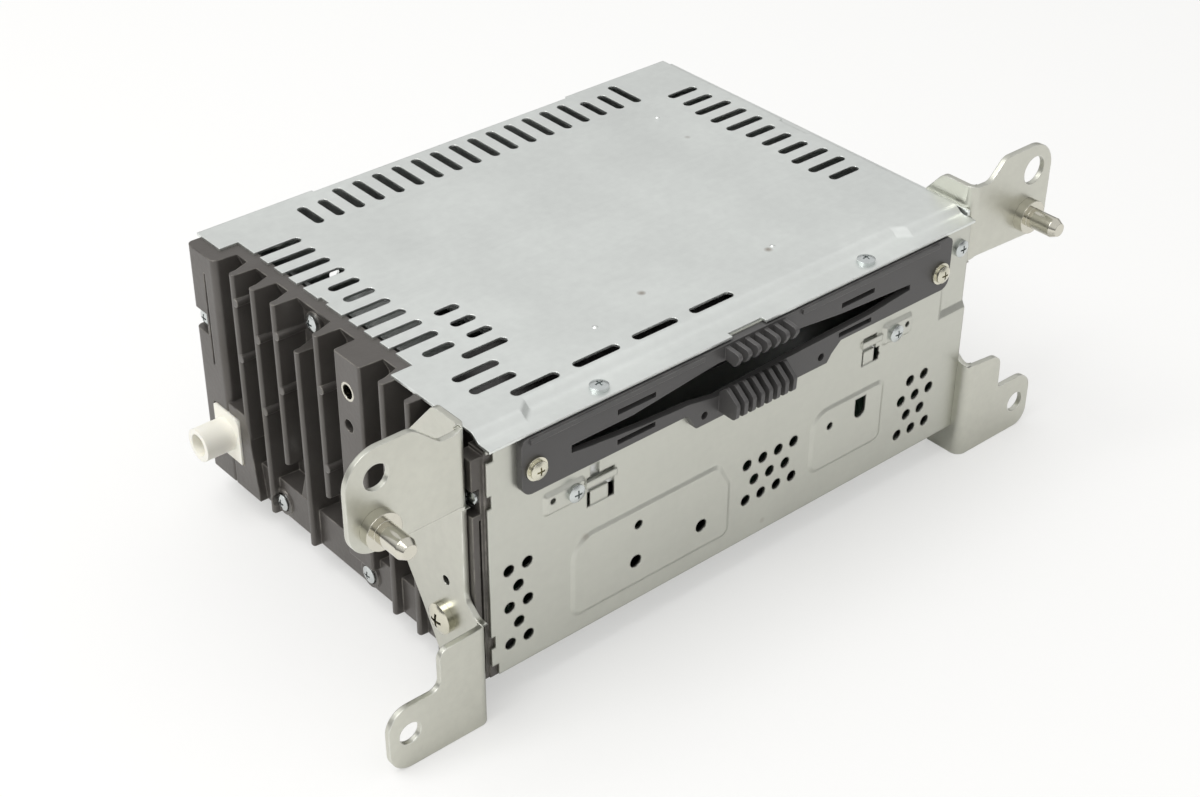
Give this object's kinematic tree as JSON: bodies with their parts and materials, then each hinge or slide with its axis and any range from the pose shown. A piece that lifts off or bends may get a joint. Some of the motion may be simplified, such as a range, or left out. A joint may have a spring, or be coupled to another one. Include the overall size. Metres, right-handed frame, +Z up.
{
  "type": "car navigation head unit",
  "caption": "Car navigation head unit chassis with slotted steel lid, finned black heatsink, disc slot guide and two dash brackets.",
  "frame": {"origin": "centre of the chassis underside, brackets left out", "axes": "+X to the unit's right seen from its front, +Y to its back, +Z up through the slotted lid"},
  "size_m": [0.2508, 0.1455, 0.0958],
  "materials": {
    "galvanised": "satin galvanised",
    "panel_steel": "satin galvanised",
    "bracket_zinc": "zinc plated",
    "black_casting": "matt black coating on die-cast aluminium",
    "dark_plastic": "fine moulded texture",
    "screw_zinc": "bright zinc",
    "screw_yellow": "pale yellow zinc",
    "pin_nickel": "turned, nickel plated",
    "nylon_white": "natural nylon",
    "inner_steel": "satin",
    "board_green": "solder mask",
    "chip_black": "matt",
    "can_aluminium": "satin",
    "black_rubber": "matt",
    "gear_acetal": "moulded acetal",
    "lens_glass": "clear",
    "motor_can": "plated can"
  },
  "bodies": {
    "chassis": {"amplifier_chips": "chip_black", "antenna_socket": "gear_acetal", "bezel_screws": "screw_yellow", "board_screws": "screw_zinc", "board_standoffs": "inner_steel", "bottom_plate": "galvanised", "chip_clamp": "inner_steel", "clamp_pivot_pin": "inner_steel", "cover_screws": "screw_zinc", "deck_dampers": "black_rubber", "deck_frame": "inner_steel", "deck_posts": "inner_steel", "disc_guide_bezel": "dark_plastic", "filter_capacitors": "can_aluminium", "front_panel": "panel_steel", "front_panel_screws": "screw_zinc", "gps_socket": "gear_acetal", "guide_rods": "inner_steel", "gyro_sensor": "chip_black", "harness_connector": "chip_black", "heatsink_screws": "screw_zinc", "heatsink_thread_insert": "screw_zinc", "idler_pin": "inner_steel", "left_bracket": "bracket_zinc", "left_bracket_screws": "screw_yellow", "left_locating_pin": "pin_nickel", "lever_pivot_pins": "inner_steel", "loading_motor": "motor_can", "locating_stud": "nylon_white", "main_board": "board_green", "processor_shield": "inner_steel", "rear_panel": "galvanised", "rear_panel_screws": "screw_zinc", "right_bracket": "bracket_zinc", "right_bracket_screws": "screw_yellow", "right_locating_pin": "pin_nickel", "right_side_panel": "galvanised", "roller_bushes": "gear_acetal", "side_heatsink": "black_casting", "sled_motor": "motor_can", "spindle_motor": "motor_can", "top_cover": "galvanised", "traverse_plate": "inner_steel", "tuner_module": "can_aluminium", "upper_disc_guide": "dark_plastic", "video_connector": "chip_black"},
    "roller": {"loading_roller": "black_rubber", "roller_shaft": "inner_steel", "roller_gear": "gear_acetal"},
    "idler": {"idler_gear": "gear_acetal"},
    "motor_rotor": {"motor_pinion": "gear_acetal", "motor_shaft": "inner_steel"},
    "spindle": {"turntable": "dark_plastic"},
    "sled_screw": {"lead_screw": "inner_steel"},
    "sled": {"pickup_sled": "chip_black", "pickup_lens": "lens_glass"},
    "clamp": {"clamp_arm": "inner_steel"},
    "clamp_disc": {"clamper": "dark_plastic"},
    "left_lever": {"left_disc_lever": "dark_plastic"},
    "right_lever": {"right_disc_lever": "dark_plastic"}
  },
  "joints": [
    {"name": "motor_turn", "type": "hinge", "parent": "chassis", "child": "motor_rotor", "pos_m": [0.07285, -0.03227, 0.04823], "axis": [1, 0, 0], "continuous": true},
    {"name": "idler_turn", "type": "hinge", "parent": "chassis", "child": "idler", "pos_m": [0.07285, -0.0405, 0.05044], "axis": [1, 0, 0], "continuous": true},
    {"name": "roller_turn", "type": "hinge", "parent": "chassis", "child": "roller", "pos_m": [-0.00175, -0.051, 0.0565], "axis": [1, 0, 0], "continuous": true},
    {"name": "turntable_turn", "type": "hinge", "parent": "chassis", "child": "spindle", "pos_m": [-0.00175, 0.001, 0.0611], "axis": [0, 0, 1], "continuous": true},
    {"name": "lead_screw_turn", "type": "hinge", "parent": "chassis", "child": "sled_screw", "pos_m": [0.03825, 0.026, 0.0525], "axis": [1, 0, 0], "range_deg": [0, 4081]},
    {"name": "sled_slide", "type": "slide", "parent": "chassis", "child": "sled", "axis": [1, 0, 0], "range_m": [0, 0.034]},
    {"name": "clamp_lower", "type": "hinge", "parent": "chassis", "child": "clamp", "pos_m": [-0.00175, 0.051, 0.0696], "axis": [1, 0, 0], "range_deg": [0, 2.4]},
    {"name": "clamper_turn", "type": "hinge", "parent": "clamp", "child": "clamp_disc", "pos_m": [-0.00175, 0.001, 0.0681], "axis": [0, 0, 1], "continuous": true},
    {"name": "left_lever_turn", "type": "hinge", "parent": "chassis", "child": "left_lever", "pos_m": [-0.06175, -0.029, 0.0666], "axis": [0, 0, 1], "range_deg": [0, 35]},
    {"name": "right_lever_turn", "type": "hinge", "parent": "chassis", "child": "right_lever", "pos_m": [0.05825, -0.029, 0.0666], "axis": [0, 0, 1], "range_deg": [-35, 0]}
  ],
  "couplings": [
    {"joint": "idler_turn", "follows": "motor_turn", "ratio": -0.55556},
    {"joint": "roller_turn", "follows": "motor_turn", "ratio": 0.45455},
    {"joint": "lead_screw_turn", "follows": "sled_slide", "rad_per_m": 2094.4},
    {"joint": "right_lever_turn", "follows": "left_lever_turn", "ratio": -1}
  ]
}
